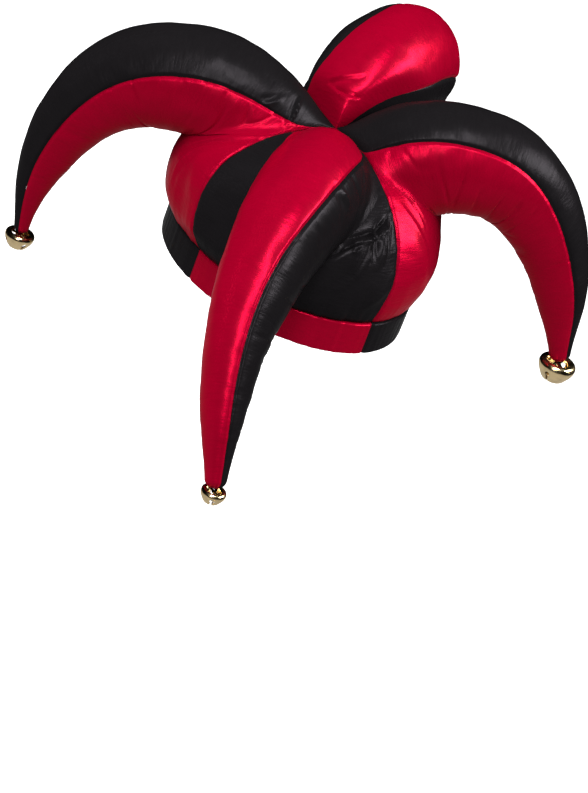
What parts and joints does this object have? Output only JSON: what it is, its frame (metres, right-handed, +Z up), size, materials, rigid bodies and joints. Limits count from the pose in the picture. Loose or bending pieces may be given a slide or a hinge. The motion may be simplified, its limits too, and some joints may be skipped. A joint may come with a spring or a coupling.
{
  "type": "jester hat",
  "caption": "Soft cap of red and black satin gores in a gathered band, with stuffed horns that arch over and end in jingle bells.",
  "frame": {"origin": "middle of the rim, level with the lower edge of the band, where the hat sits on the head", "axes": "+Z up along the hat's own axis; -Y is the way the wearer faces; +X is the wearer's left"},
  "size_m": [0.338, 0.3141, 0.241],
  "materials": {
    "satin_red": "glossy satin",
    "satin_black": "glossy satin",
    "bell_brass": "polished",
    "pellet_steel": "plain"
  },
  "bodies": {
    "root": {"crown_front_left": "satin_red", "band_front_left": "satin_black", "horn_front_left_under": "satin_red", "horn_front_left_top": "satin_black", "bell_front_left": "bell_brass", "pellet_front_left": "pellet_steel", "crown_front_right": "satin_black", "band_front_right": "satin_red", "horn_front_right_under": "satin_black", "horn_front_right_top": "satin_red", "bell_front_right": "bell_brass", "pellet_front_right": "pellet_steel", "crown_back_right": "satin_red", "band_back_right": "satin_black", "horn_back_right_under": "satin_red", "horn_back_right_top": "satin_black", "bell_back_right": "bell_brass", "pellet_back_right": "pellet_steel", "crown_back_left": "satin_black", "band_back_left": "satin_red", "horn_back_left_under": "satin_black", "horn_back_left_top": "satin_red", "bell_back_left": "bell_brass", "pellet_back_left": "pellet_steel"}
  },
  "joints": []
}
